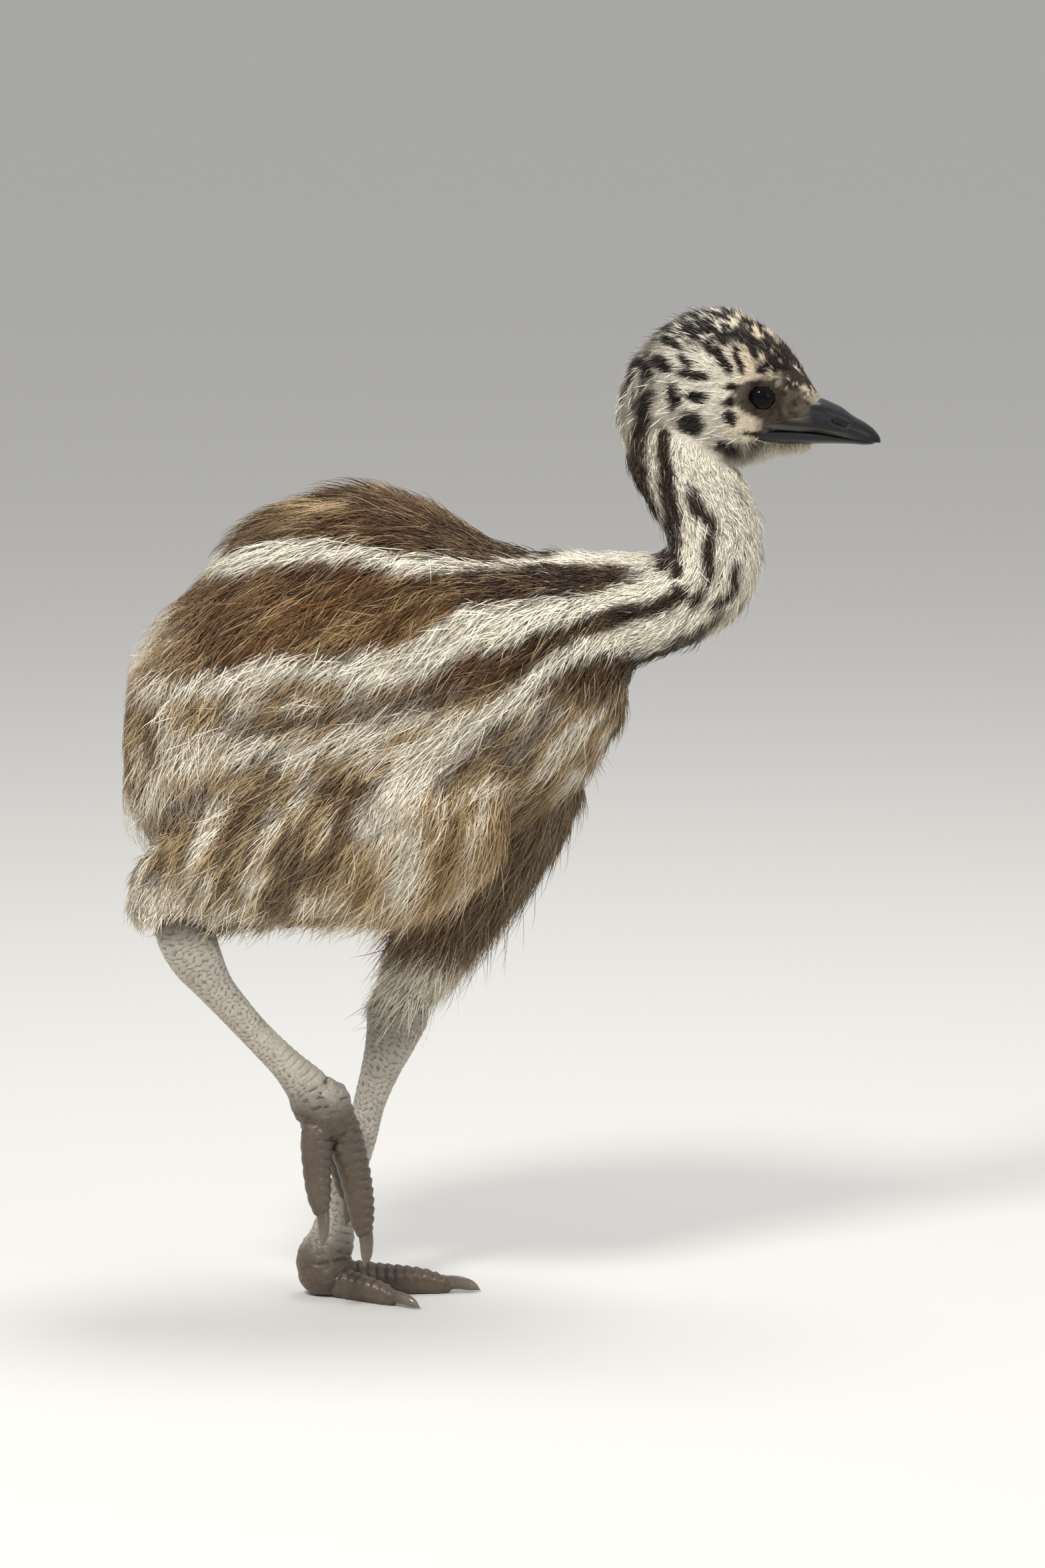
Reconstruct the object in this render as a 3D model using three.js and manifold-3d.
// Emu chick, life size, in striped down, walking: the left foot is down, the right one is lifted with its toes
// hanging. Millimetres, +X towards the bill, +Y to the bird's left, +Z up, floor at Z = 0.
import * as THREE from "three";
import { mergeVertices } from "three/addons/utils/BufferGeometryUtils.js";
import Module from "manifold-3d";

const wasm = await Module();
wasm.setup();

// Driving dimensions
const GAP = 0.3; // between two pieces that meet
const MERGE = 1e-3; // points closer than this are one
const FIT = 0.4; // room that a lock or a ring of flat faces needs beside a curved surface
const COAT = 15; // depth of the long down on the trunk, from the skin to its tips
const CORE_DEPTH = COAT / 2; // how far the core lies inside the tips
const LEG_CORE_DEPTH = CORE_DEPTH * 0.8; // the same on a thigh
const LOCK = { length: 52, width: 26, thickness: 3.6, root: 4 }; // trunk; the root is sunk into the core
const LEG_LOCK = { length: 40, width: 20, thickness: 3, root: 4 };
const LOCK_EDGE = 1.3; // how far the edge of a flat lock may stand off a round thigh
const TRUNK_ROWS = { rowPitch: 34, lockPitch: 33 }; // distances between rows of locks, and within a row
const LEG_ROWS = { rowPitch: 36, lockPitch: 29 };
const EYE_RADIUS = 7.6;
const EYE_CENTRE = [165.5, 13.6, 424]; // the left eye
const FACE_WIDTH = 21; // how far the bare skin round the eye stands from the middle
const LID = { radius: 6.6, thickness: 1.5, depth: 3.2, stretch: [1.12, 0.96] };
// Hollows of the left half of the head, each an ellipsoid
const EYE_HOLLOW = { at: [167.5, 27, 423.5], size: [14, 9, 10] };
const LORE_HOLLOW = { at: [184, 19, 414], size: [17, 6.4, 9] };
const EAR = { at: [135, 26.5, 425], size: [3.4, 4, 2.4] };
const NOSTRIL = { at: [203.5, 8.4, 410.6], size: [4.6, 3, 1.5] };
const MIDDLE_TOE = 58; // root to claw base
const SIDE_TOE = 42;
const CLAW = 15;
const SCUTE = 4.8; // pitch of the plates on top of a toe
const SCUTE_HEIGHT = 0.75;

// A station is [x, y, z, half height, half width], in the plane across the line that the stations follow.
const TORSO = [
  [-125, 0, 266, 0, 0],
  [-122, 0, 265, 26, 21],
  [-114, 0, 265, 43, 37],
  [-104, 0, 268, 57, 49],
  [-88, 0, 273, 72, 59],
  [-67, 0, 282, 89, 66],
  [-42, 0, 288, 94, 70],
  [-14, 0, 292, 94, 70],
  [12, 0, 290, 88, 68],
  [40, 0, 288, 75, 62],
  [66, 0, 292, 64, 55],
  [84, 0, 297, 55, 47],
  [95, 0, 302, 44, 38],
  [103, 0, 306, 29, 26],
  [108, 0, 308, 0, 0],
];
const NECK = [
  [34, 0, 300, 44, 42],
  [58, 0, 312, 43, 41],
  [80, 0, 319, 37, 35],
  [98, 0, 323, 31, 29],
  [114, 0, 326, 28, 26],
  [130, 0, 331.5, 26.5, 24],
  [141, 0, 343, 26, 23],
  [144, 0, 357.5, 25.2, 22.5],
  [140, 0, 372, 25.5, 22.5],
  [132.5, 0, 386, 26.3, 23],
  [126.5, 0, 400, 27, 22.5],
  [127.5, 0, 418, 28, 22],
];
const HEAD = [
  [99.5, 0, 416, 0, 0],
  [101.5, 0, 416.5, 12, 10],
  [106, 0, 420, 19, 16],
  [116, 0, 425, 27, 21.5],
  [127, 0, 428, 33, 24.5],
  [139.5, 0, 428.5, 37, 26],
  [152, 0, 428.5, 37.6, 25.6],
  [164, 0, 426, 33.5, 23.2],
  [176, 0, 423.5, 25.5, 18.6],
  [184.5, 0, 420, 19.5, 14.6],
  [190, 0, 417, 13.6, 11.4],
  [194, 0, 415.6, 7.5, 7],
  [196, 0, 415, 0, 0],
];
const RIGHT_THIGH = [
  [50, -40, 262, 0, 0],
  [46, -41, 259, 17, 12],
  [36, -44, 252, 32, 20],
  [20, -46, 242, 42, 25],
  [-2, -47, 232, 43, 26],
  [-28, -46, 223, 38, 25],
  [-56, -42, 217, 35, 22],
  [-82, -37.5, 211, 32, 19],
  [-102, -33.5, 201, 27, 16.5],
  [-113, -32, 191, 21, 14],
  [-120, -32, 183, 11, 9],
  [-123, -32, 180, 0, 0],
];
const LEFT_THIGH = [
  [70, 34, 276, 0, 0],
  [67, 36, 271, 20, 12],
  [60, 41, 257, 30, 20],
  [52, 44, 238, 35, 24],
  [41, 43, 216, 34, 24],
  [28, 37, 192, 29, 20],
  [15, 29, 167, 22, 16.5],
  [5, 23, 148, 17, 14],
  [-1, 20, 137, 13, 11.5],
  [-3.5, 19, 131, 0, 0],
];
const RIGHT_TARSUS = [
  [-106, -32, 190, 9, 8],
  [-100.5, -32, 177, 13, 10.6],
  [-94.5, -32, 164, 11.6, 9.2],
  [-87, -31.5, 152.5, 8.6, 7.4],
  [-76, -30.5, 139, 7.2, 6.3],
  [-64.5, -29.5, 126, 6.8, 6],
  [-54, -28.5, 115, 7.4, 6.6],
  [-45, -28, 105, 9.6, 8.6],
  [-38.5, -27.5, 96, 11.4, 10.2],
];
const LEFT_TARSUS = [
  [1, 20.5, 144, 9, 8],
  [-3, 19, 131, 14.2, 11.4],
  [-6, 17.4, 120, 12, 9.8],
  [-10.5, 15.4, 107, 9.2, 8],
  [-16, 12.6, 91, 7.3, 6.6],
  [-20.5, 9.6, 73, 7, 6.3],
  [-27.5, 6.4, 51, 7.2, 6.5],
  [-32.5, 4, 34, 9, 8.2],
  [-36, 2.4, 22, 11.2, 10.3],
];
const UPPER_BILL = [
  [160, 0, 410, 9, 17.4],
  [176, 0, 412, 11, 15.4],
  [189.7, 0, 413, 9, 12],
  [197, 0, 411, 8, 10.6],
  [203.7, 0, 408.6, 7.4, 9],
  [212, 0, 405, 6, 6.8],
  [217, 0, 402.6, 4.4, 4.6],
  [219.5, 0, 401.4, 2.6, 2.6],
  [221, 0, 400.6, 0, 0],
];
const LOWER_BILL = [
  [160, 0, 406.5, 5.2, 16],
  [176, 0, 406.2, 5, 14.2],
  [190, 0, 405.4, 4.2, 11],
  [200, 0, 404.6, 3.4, 9],
  [208, 0, 403.6, 2.6, 6.8],
  [215, 0, 402.4, 1.8, 4.2],
  [217.6, 0, 402, 1, 2.2],
  [219, 0, 401.8, 0, 0],
];
// The line where the two halves of the bill meet, from the gape to past the tip: [x, z]
const MOUTH = [
  [150, 410.5],
  [166, 409.5],
  [179, 408],
  [191, 406.5],
  [200, 404.8],
  [213.6, 402.6],
  [226, 400.5],
];
const WING = [
  [66, 42, 300, 4, 3],
  [56, 50, 291, 13, 6],
  [40, 57, 279, 15, 7],
  [20, 62, 266, 13, 6.5],
  [5, 64, 256, 9, 5],
  [-4, 65, 250, 0, 0],
];

// Cut planes, each a point and a normal towards the head or the tail.
const CUTS = {
  neckRoot: { at: [104, 0, 326], normal: [0.93, 0, 0.37] },
  neckBend: { at: [119.5, 0, 357.5], normal: [0.66, 0, 0.75] },
  neckTop: { at: [142, 0, 377], normal: [-0.25, 0, 0.97] },
  headRoot: { at: [128, 0, 396], normal: [0.3, 0, 0.95] },
  billRoot: { at: [190, 0, 422.5], normal: [0.48, 0, -0.88] },
  tailRoot: { at: [-86, 0, 280], normal: [-0.99, 0, 0.1] },
};

const v3 = (a) => new THREE.Vector3(...a);
const mirrored = (stations) => stations.map(([x, y, z, h, w]) => [x, -y, z, h, w]);

// The same stations with every size larger, or smaller, by a length, and the two ends moved out by it
function grown(stations, by) {
  const last = stations.length - 1;
  const places = stations.map((s) => v3(s));
  const first = places[0].clone().sub(places[1]).setLength(Math.abs(by));
  const end = places[last].clone().sub(places[last - 1]).setLength(Math.abs(by));
  places[0].add(by < 0 ? first.negate() : first);
  places[last].add(by < 0 ? end.negate() : end);
  return stations.map(([, , , h, w], i) => [...places[i].toArray(), h && h + by, w && w + by]);
}

// Surface along stations: at(t, angle) gives a point, where t runs from 0 to 1. Angle 0 is the upper side of a
// line that heads towards the bill, and the front of one that heads down.
function surface(stations, { roundness = 2, bump = () => 0, upright = false } = {}) {
  const line = new THREE.CatmullRomCurve3(stations.map((s) => v3(s)), false, "centripetal");
  const size = new THREE.CatmullRomCurve3(
    stations.map((s, i) => new THREE.Vector3(s[3], s[4], i)), false, "catmullrom", 0.35);
  const across = new THREE.Vector3(0, 1, 0);
  return (t, angle) => {
    const centre = line.getPoint(t);
    const along = upright ? new THREE.Vector3(1, 0, 0) : line.getTangent(t);
    const side = across.clone().addScaledVector(along, -across.dot(along)).normalize();
    const up = new THREE.Vector3().crossVectors(along, side);
    const { x: half, y: wide } = size.getPoint(t);
    const c = Math.cos(angle);
    const s = Math.sin(angle);
    const k = Math.pow(Math.abs(c) ** roundness + Math.abs(s) ** roundness, -1 / roundness);
    const more = bump(t, angle);
    return centre.addScaledVector(up, c * k * (Math.max(half, 0) + more))
      .addScaledVector(side, s * k * (Math.max(wide, 0) + more));
  };
}

// Closed mesh over a surface, with rings evenly spaced along it.
function loft(stations, rings, sides, options = {}) {
  const at = surface(stations, options);
  const first = stations[0][3] === 0;
  const last = stations[stations.length - 1][3] === 0;
  const levels = [];
  for (let i = first ? 1 : 0; i <= rings - (last ? 1 : 0); i++) levels.push(i / rings);
  const points = [];
  for (const t of levels)
    for (let j = 0; j < sides; j++) points.push(at(t, (2 * Math.PI * j) / sides));
  const start = points.push(v3(stations[0])) - 1;
  const end = points.push(v3(stations[stations.length - 1])) - 1;
  const faces = [];
  for (let j = 0; j < sides; j++) {
    const k = (j + 1) % sides;
    faces.push(start, k, j);
    for (let i = 0; i + 1 < levels.length; i++) {
      const a = i * sides;
      const b = a + sides;
      faces.push(a + j, a + k, b + j, a + k, b + k, b + j);
    }
    const top = (levels.length - 1) * sides;
    faces.push(end, top + j, top + k);
  }
  const geometry = new THREE.BufferGeometry().setFromPoints(points);
  geometry.setIndex(faces);
  return geometry;
}

// Seeded random numbers from 0 to 1
let seed = 42;
function random() {
  seed = (seed * 1664525 + 1013904223) % 4294967296;
  return seed / 4294967296;
}
const vary = (amount) => 1 + amount * (2 * random() - 1);

// A point of a surface with its outward normal and its two directions, along the line and round it
function faceOf(at, t, angle) {
  const step = 0.01;
  const point = at(t, angle);
  const along = at(Math.min(t + step, 1), angle).sub(at(Math.max(t - step, 0), angle)).normalize();
  const round = at(t, angle + step).sub(at(t, angle - step)).normalize();
  const normal = new THREE.Vector3().crossVectors(along, round).normalize();
  const outward = point.clone().sub(at(t, angle + Math.PI));
  if (normal.dot(outward) < 0) normal.negate();
  return { point, normal, along, round };
}

// One flat, tapered lock. It leaves the core at (t, angle), bends over and follows the surface to its tip.
function makeLock(at, { t, angle, dt, turn, coat, size }) {
  const depths = [coat + size.root, coat * 0.62, coat * 0.2, 0.2];
  const reach = [0, 0.3, 0.68, 1];
  const taper = [0.75, 1, 0.72, 0];
  const spine = reach.map((r, i) => {
    const here = THREE.MathUtils.clamp(t + dt * r, 0.004, 0.996);
    const { point, normal } = faceOf(at, here, angle + turn * r);
    return { point: point.addScaledVector(normal, -depths[i]), normal };
  });
  const points = [];
  for (let i = 0; i < 3; i++) {
    const { point, normal } = spine[i];
    const way = spine[i + 1].point.clone().sub(point).normalize();
    const side = new THREE.Vector3().crossVectors(normal, way).normalize();
    const thick = new THREE.Vector3().crossVectors(way, side).normalize();
    const half = (size.width / 2) * taper[i];
    const rise = (size.thickness / 2) * (1 - 0.25 * i);
    points.push(
      point.clone().addScaledVector(side, half),
      point.clone().addScaledVector(thick, rise),
      point.clone().addScaledVector(side, -half),
      point.clone().addScaledVector(thick, -rise),
    );
  }
  points.push(spine[3].point);
  const faces = [0, 1, 2, 0, 2, 3];
  for (let i = 0; i < 2; i++)
    for (let j = 0; j < 4; j++) {
      const a = 4 * i + j;
      const b = 4 * i + ((j + 1) % 4);
      faces.push(a, a + 4, b, b, a + 4, b + 4);
    }
  for (let j = 0; j < 4; j++) faces.push(8 + j, 12, 8 + ((j + 1) % 4));
  const geometry = new THREE.BufferGeometry().setFromPoints(points);
  geometry.setIndex(faces);
  return solid(geometry);
}

// Locks over a surface in staggered rows, where lie(face) gives the direction in space that the down takes there
function coatOf(stations, { options = {}, lie, size, coat, rowPitch, lockPitch, skip = () => false }) {
  const at = surface(stations, options);
  const middle = (t) => at(t, 0).add(at(t, Math.PI)).multiplyScalar(0.5);
  const steps = 60;
  let length = 0;
  for (let i = 0; i < steps; i++) length += middle(i / steps).distanceTo(middle((i + 1) / steps));
  const rows = Math.round(length / rowPitch);
  const locks = [];
  for (let row = 0; row <= rows; row++) {
    const t = THREE.MathUtils.clamp((row + 0.5 * vary(0.3)) / (rows + 1), 0.01, 0.99);
    let girth = 0;
    for (let i = 0; i < steps; i++)
      girth += at(t, (2 * Math.PI * i) / steps).distanceTo(at(t, (2 * Math.PI * (i + 1)) / steps));
    const count = Math.max(3, Math.round(girth / lockPitch));
    for (let i = 0; i < count; i++) {
      const angle = ((i + (row % 2) / 2 + 0.25 * (random() - 0.5)) / count) * 2 * Math.PI - Math.PI;
      const face = faceOf(at, t, angle);
      if (skip(face.point, t)) continue;
      const way = lie(face).projectOnPlane(face.normal).normalize();
      const reach = size.length * vary(0.15);
      locks.push(makeLock(at, {
        t, angle, coat: coat(face.point),
        dt: (way.dot(face.along) * reach) / length,
        turn: (way.dot(face.round) * reach * 2 * Math.PI) / girth,
        size: { ...size, width: size.width * vary(0.15) },
      }));
    }
  }
  return locks;
}

// manifold-3d solid of a closed three.js geometry
function solid(geometry, merge = MERGE / 10) {
  const bare = geometry.clone();
  for (const name of Object.keys(bare.attributes)) if (name !== "position") bare.deleteAttribute(name);
  const merged = mergeVertices(bare, merge);
  const made = new wasm.Manifold(new wasm.Mesh({
    numProp: 3,
    vertProperties: merged.attributes.position.array,
    triVerts: new Uint32Array(merged.index.array),
  }));
  if (made.volume() >= 0) return made;
  const turned = new Uint32Array(merged.index.array);
  for (let i = 0; i < turned.length; i += 3) [turned[i], turned[i + 1]] = [turned[i + 1], turned[i]];
  return new wasm.Manifold(new wasm.Mesh({
    numProp: 3, vertProperties: merged.attributes.position.array, triVerts: turned,
  }));
}

const tube = (stations, rings, sides, options) => solid(loft(stations, rings, sides, options));
const join = (solids) => wasm.Manifold.union(solids);

function ball([x, y, z], [rx, ry, rz], detail = 12) {
  const sphere = new THREE.SphereGeometry(1, detail, Math.round(detail * 0.7));
  sphere.scale(rx, ry, rz).translate(x, y, z);
  return solid(sphere);
}

// The side of a plane that its normal points to, as a large box that keeps half a gap from the plane
function beyond({ at, normal }, turn = 1) {
  const size = 800;
  const n = v3(normal).normalize().multiplyScalar(turn);
  const box = new THREE.BoxGeometry(size, size, size);
  box.translate(0, 0, size / 2 + GAP / 2);
  box.applyQuaternion(new THREE.Quaternion().setFromUnitVectors(new THREE.Vector3(0, 0, 1), n));
  box.translate(...at);
  return solid(box);
}

// The largest closed surface, without sealed hollows
function largest(made) {
  return made.decompose().sort((a, b) => b.volume() - a.volume())[0];
}

function geometryOf(made) {
  const { vertProperties, triVerts } = made.getMesh();
  return new THREE.BufferGeometry()
    .setAttribute("position", new THREE.BufferAttribute(new Float32Array(vertProperties), 3))
    .setIndex(new THREE.BufferAttribute(new Uint32Array(triVerts), 1));
}

// One closed surface, also after points closer than a micrometre have become one
function whole(made) {
  return largest(solid(geometryOf(largest(made)), MERGE));
}

// How deep the core lies under the tips: the coat thins out towards the neck.
const BARE_FROM = 55;
const BARE_TO = 100;
const LAST_LOCK = 88;
const coatDepth = (x) => CORE_DEPTH * (1 - THREE.MathUtils.smoothstep(x, BARE_FROM, BARE_TO));
const trunkShape = { roundness: 2.15, upright: true };
const trunkCore = grown(TORSO, -CORE_DEPTH).map(([x, y, z, h, w]) => {
  const back = CORE_DEPTH - coatDepth(x);
  return [x, y, z, h && h + back, w && w + back];
});

// The down lies straight back along the ridge, back and down on the flanks, and down on the rump and breast.
function trunkLie({ point }) {
  const flank = THREE.MathUtils.smoothstep(Math.abs(point.y), 8, 52);
  const rump = THREE.MathUtils.smoothstep(-point.x, 55, 112);
  const breast = THREE.MathUtils.smoothstep(point.x, 40, 98);
  const slope = Math.min(0.62 * flank + 0.75 * rump + 0.45 * breast, 1.38);
  return new THREE.Vector3(-Math.cos(slope), 0, -Math.sin(slope));
}
// The down of a thigh lies along it towards the hock, and hangs.
const THIGH_HANG = { right: [-0.1, 0, -0.9], left: [-0.25, 0, -0.35] };
const thighLie = (side) => ({ along }) => along.clone().add(v3(THIGH_HANG[side]));

// Whether a point lies well inside the trunk's outline
function insideTrunk({ x, y, z }) {
  const next = TORSO.findIndex((s) => s[0] > x);
  if (next < 1) return false;
  const [a, b] = [TORSO[next - 1], TORSO[next]];
  const f = (x - a[0]) / (b[0] - a[0]);
  const [, , mid, half, wide] = a.map((v, i) => v + f * (b[i] - v));
  return ((z - mid) / half) ** 2 + (y / wide) ** 2 < 0.92;
}

// Flesh and coat, whole, before it is parted
const torsoOutline = tube(TORSO, 22, 18, trunkShape);
const neck = tube(NECK, 18, 12);
const skull = tube(HEAD, 16, 14, { roundness: 2.1, upright: true });
const trunkLocks = coatOf(TORSO, {
  options: trunkShape,
  lie: trunkLie,
  size: LOCK,
  coat: (point) => coatDepth(point.x),
  ...TRUNK_ROWS,
  skip: (point) => point.x > LAST_LOCK,
});
const trunkCoat = join([tube(trunkCore, 16, 14, trunkShape), ...trunkLocks]);

// A thigh is full size where the trunk holds it, and a core with locks where it stands free, down to the hock.
const HOCK_FROM = 0.86;
const THIGHS = { right: RIGHT_THIGH, left: LEFT_THIGH };
const thighs = {};
const thighRooms = {};
for (const [side, stations] of Object.entries(THIGHS)) {
  const held = tube(grown(stations, LOCK_EDGE), 12, 10).intersect(torsoOutline);
  const core = tube(grown(stations, -LEG_CORE_DEPTH), 12, 10);
  const locks = coatOf(stations, {
    lie: thighLie(side),
    size: LEG_LOCK,
    coat: () => LEG_CORE_DEPTH,
    ...LEG_ROWS,
    skip: (point, t) => t > HOCK_FROM || insideTrunk(point),
  });
  thighs[side] = join([held, core, ...locks]);
  thighRooms[side] = tube(grown(stations, LOCK_EDGE + FIT), 12, 10);
}
const WINGS = { left: WING, right: mirrored(WING) };
const wingOf = (side, growth) => tube(growth ? grown(WINGS[side], growth) : WINGS[side], 8, 8);
const WING_ROOM = 0.5;

const SIDES = { left: 1, right: -1 };
const nodes = new Map(); // name to { made, look }
const put = (name, made, look) => nodes.set(name, { made: whole(made), look });

// An ellipsoid given for the left side, on either side
function onSide(side, { at: [x, y, z], size }, detail) {
  return ball([x, y * SIDES[side], z], size, detail);
}

// Head, with its sockets, lids, ear openings and the corners of the mouth
function eyeOn(side, radius) {
  return onSide(side, { at: EYE_CENTRE, size: [radius, radius, radius] }, 12);
}
function lidsOn(side) {
  const [x, , z] = EYE_CENTRE;
  const ring = new THREE.TorusGeometry(LID.radius, LID.thickness, 5, 12);
  ring.scale(...LID.stretch, 1).rotateX(Math.PI / 2).translate(x, SIDES[side] * (FACE_WIDTH - LID.depth), z);
  return solid(ring);
}
const fore = join([torsoOutline, neck, skull]).intersect(beyond(CUTS.neckRoot));

// Bill, in two halves that meet along the mouth, with the nostrils cut into the upper one
function belowMouth(lift) {
  const shape = new THREE.Shape();
  const [[firstX]] = MOUTH;
  const [lastX] = MOUTH[MOUTH.length - 1];
  shape.moveTo(firstX, 0);
  shape.lineTo(lastX, 0);
  for (const [x, z] of MOUTH.toReversed()) shape.lineTo(x, z + lift);
  const slab = new THREE.ExtrudeGeometry(shape, { depth: 60, bevelEnabled: false });
  slab.rotateX(Math.PI / 2).translate(0, 30, 0);
  return solid(slab);
}
function makeBill(growth) {
  const front = beyond(CUTS.billRoot).translate([0, 0, growth]);
  const upperRoom = tube(grown(UPPER_BILL, growth), 12, 12, { roundness: 2.1 });
  const lowerRoom = tube(grown(LOWER_BILL, growth), 10, 10, { roundness: 2.1 });
  return {
    upper: upperRoom.intersect(front).subtract(belowMouth(GAP / 2 - growth)),
    lower: lowerRoom.intersect(front).intersect(belowMouth(growth - GAP / 2)),
  };
}
const bill = makeBill(0);
const billRoom = makeBill(GAP);
for (const side of Object.keys(SIDES)) bill.upper = bill.upper.subtract(onSide(side, NOSTRIL, 8));
put("bill_upper", bill.upper, "horn");
put("bill_lower", bill.lower, "horn");

let head = fore.intersect(beyond(CUTS.headRoot));
for (const side of Object.keys(SIDES)) {
  head = head.subtract(onSide(side, EYE_HOLLOW, 10));
  head = head.subtract(onSide(side, LORE_HOLLOW, 8));
  head = head.add(lidsOn(side)).subtract(eyeOn(side, EYE_RADIUS + GAP));
  head = head.subtract(onSide(side, EAR, 8));
}
head = head.subtract(billRoom.upper).subtract(billRoom.lower);
put("head", head, "down_pale");
for (const side of Object.keys(SIDES)) put(`eye_${side}`, eyeOn(side, EYE_RADIUS), "eye");

// Neck in three lengths
put("neck_lower", fore.intersect(beyond(CUTS.neckBend, -1)), "down_pale");
put("neck_middle", fore.intersect(beyond(CUTS.neckBend)).intersect(beyond(CUTS.neckTop, -1)), "down_pale");
put("neck_upper", fore.intersect(beyond(CUTS.neckTop)).intersect(beyond(CUTS.headRoot, -1)), "down_pale");

// Trunk, wings and thighs
let trunk = join([trunkCoat, neck]).intersect(beyond(CUTS.neckRoot, -1));
for (const side of Object.keys(SIDES))
  trunk = trunk.subtract(thighRooms[side]).subtract(wingOf(side, WING_ROOM));
put("torso", trunk.intersect(beyond(CUTS.tailRoot, -1)), "down_striped");
put("tail", trunk.intersect(beyond(CUTS.tailRoot)), "down_striped");
for (const side of Object.keys(SIDES))
  put(`wing_${side}`, wingOf(side, 0).subtract(thighRooms[side]), "down_striped");

// Legs
const tarsi = { right: RIGHT_TARSUS, left: LEFT_TARSUS };
const footBlocks = {
  right: { at: [-35.5, -27, 91], size: [13, 11.6, 13] },
  left: { at: [-37, 2, 11.6], size: [13.4, 11.8, 13] },
};
const floor = beyond({ at: [0, 0, -GAP / 2], normal: [0, 0, 1] });
for (const side of Object.keys(SIDES)) {
  const block = footBlocks[side];
  const leg = tube(tarsi[side], 14, 10);
  const room = tube(grown(tarsi[side], GAP + FIT / 4), 14, 10);
  const padRoom = ball(block.at, block.size.map((r) => r + GAP), 10);
  put(`thigh_${side}`, thighs[side].subtract(room), "down_buff");
  put(`tarsus_${side}`, leg.subtract(padRoom), "leg_skin");
  put(`foot_${side}`, ball(block.at, block.size, 10).intersect(floor), "leg_skin");
}

// A toe along points from its root to its tip, with plates along its top
function scutes(length) {
  const count = Math.round(length / SCUTE);
  return (t, angle) => {
    const onTop = Math.max(0, Math.cos(angle));
    const step = (t * count) % 1;
    return t < 0.12 || t > 0.97 ? 0 : SCUTE_HEIGHT * onTop * (1 - step);
  };
}
function makeToe(side, points, sizes, length) {
  const stations = points.map((p, i) => [...p, ...sizes[i]]);
  const rings = Math.round(length / SCUTE) * 2;
  const block = footBlocks[side];
  const room = ball(block.at, block.size.map((r) => r + GAP), 10);
  const made = tube(stations, rings, 7, { bump: scutes(length) });
  return {
    made: made.subtract(room).intersect(floor),
    room: tube(grown(stations, GAP + SCUTE_HEIGHT), 14, 12),
  };
}
function makeClaw(points, wide) {
  const taper = [1, 0.9, 0.62, 0];
  return tube(points.map((p, i) => [...p, wide * 1.25 * taper[i], wide * taper[i]]), 5, 6);
}

// The left foot stands: each toe lies along the floor at its own heading.
const PAD = [[9.2, 8.4], [8.4, 7.4], [8, 7], [7.4, 6.4], [6.6, 5.6], [4.6, 4], [0, 0]];
const REACH = [0.05, 0.26, 0.46, 0.64, 0.82, 0.96, 1];
function standingToe(heading, length, scale) {
  const [x, y] = footBlocks.left.at;
  const turn = THREE.MathUtils.degToRad(heading);
  const along = (d, z) => [x + d * Math.cos(turn), y + d * Math.sin(turn), z];
  const sizes = PAD.map(([h, w]) => [h * scale, w * scale]);
  const points = REACH.map((r, i) => along(r * length, Math.max(sizes[i][0] - 0.9, 3.2)));
  const toe = makeToe("left", points, sizes, length);
  const claw = makeClaw([
    along(length - 4, 5.2 * scale),
    along(length + CLAW * 0.35, 5 * scale),
    along(length + CLAW * 0.75, 3.2 * scale),
    along(length + CLAW, 0.9),
  ], 3 * scale);
  return { toe, claw };
}
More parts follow.
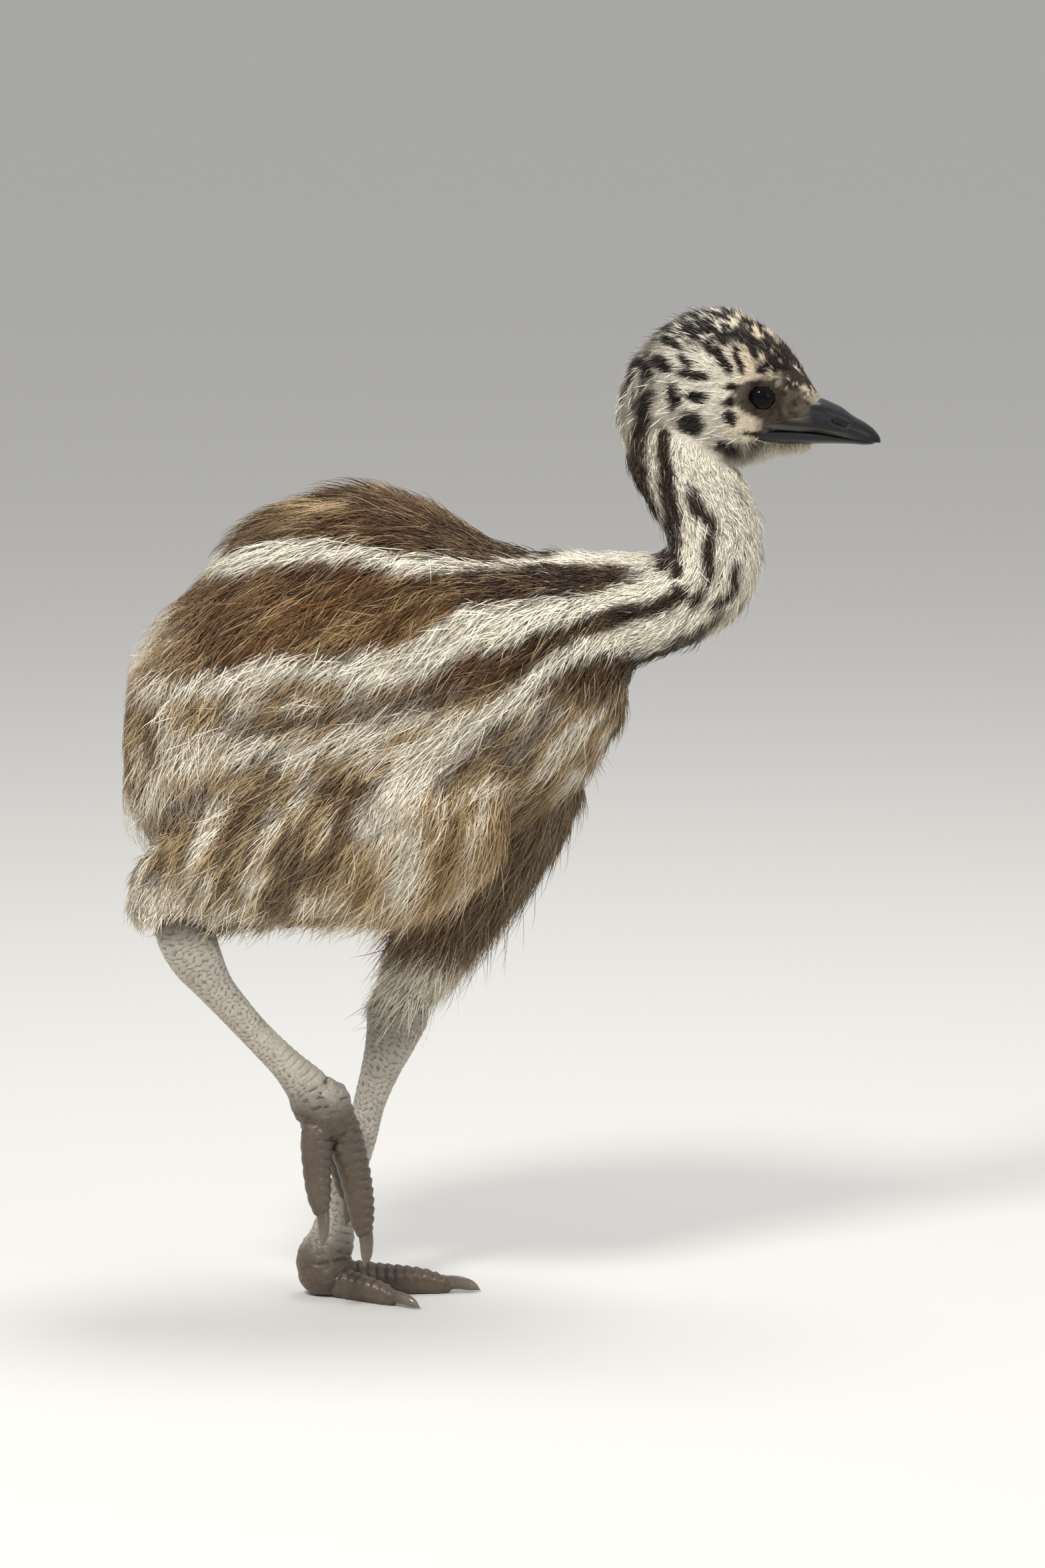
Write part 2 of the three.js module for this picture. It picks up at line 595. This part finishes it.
// The right foot hangs: each toe is a short chain of points from its root to its tip.
function hangingToe(root, tip, bow, length, scale) {
  const from = v3(root);
  const to = v3(tip);
  const forward = new THREE.Vector3(1, 0, 0.2).normalize();
  const point = (r) => from.clone().lerp(to, r).addScaledVector(forward, bow * Math.sin(Math.PI * r)).toArray();
  const sizes = PAD.map(([h, w]) => [h * scale, w * scale]);
  const toe = makeToe("right", REACH.map(point), sizes, length);
  const way = to.clone().sub(v3(point(0.8))).normalize();
  const clawPoint = (d, back) => to.clone().addScaledVector(way, d).addScaledVector(forward, -back).toArray();
  const claw = makeClaw([clawPoint(-4, -1), clawPoint(CLAW * 0.35, -0.8), clawPoint(CLAW * 0.75, 0.2),
    clawPoint(CLAW, 1.8)], 3 * scale);
  return { toe, claw };
}
const toes = {
  left_middle: standingToe(3, MIDDLE_TOE, 0.92),
  left_inner: standingToe(-38, SIDE_TOE, 0.8),
  left_outer: standingToe(36, SIDE_TOE + 2, 0.8),
  right_middle: hangingToe([-31, -26.5, 92], [-18.5, -25.5, 34], 2, MIDDLE_TOE, 0.92),
  right_inner: hangingToe([-35, -19, 88], [-27, -9, 49], 1.5, SIDE_TOE, 0.8),
  right_outer: hangingToe([-40, -32, 88], [-38, -41, 47], -1, SIDE_TOE, 0.82),
};
for (const [name, { toe, claw }] of Object.entries(toes)) {
  const middleToe = toes[`${name.split("_")[0]}_middle`].toe;
  const clear = middleToe === toe ? toe.made : toe.made.subtract(middleToe.room);
  put(`toe_${name}`, clear, "leg_skin");
  put(`claw_${name}`, claw.subtract(toe.room).intersect(floor), "claw");
}

const LOOKS = {
  down_pale: { color: 0xd8cbb4, roughness: 0.95 },
  down_striped: { color: 0x8a6a48, roughness: 0.95 },
  down_buff: { color: 0xb0946a, roughness: 0.95 },
  eye: { color: 0x0a0c14, roughness: 0.05 },
  horn: { color: 0x2c2c30, roughness: 0.4 },
  leg_skin: { color: 0x8f8678, roughness: 0.7 },
  claw: { color: 0x6f675e, roughness: 0.45 },
};
const materials = Object.fromEntries(Object.entries(LOOKS).map(([name, look]) =>
  [name, new THREE.MeshStandardMaterial({ ...look, metalness: 0 })]));

const chick = new THREE.Group();
for (const [name, { made, look }] of nodes) {
  const mesh = new THREE.Mesh(geometryOf(made), materials[look]);
  mesh.name = name;
  chick.add(mesh);
}

// The part's origin is on the floor under the middle of its box.
const box = new THREE.Box3().setFromObject(chick, true);
const middle = box.getCenter(new THREE.Vector3());
chick.position.set(-middle.x, -middle.y, -box.min.z);

export default chick;
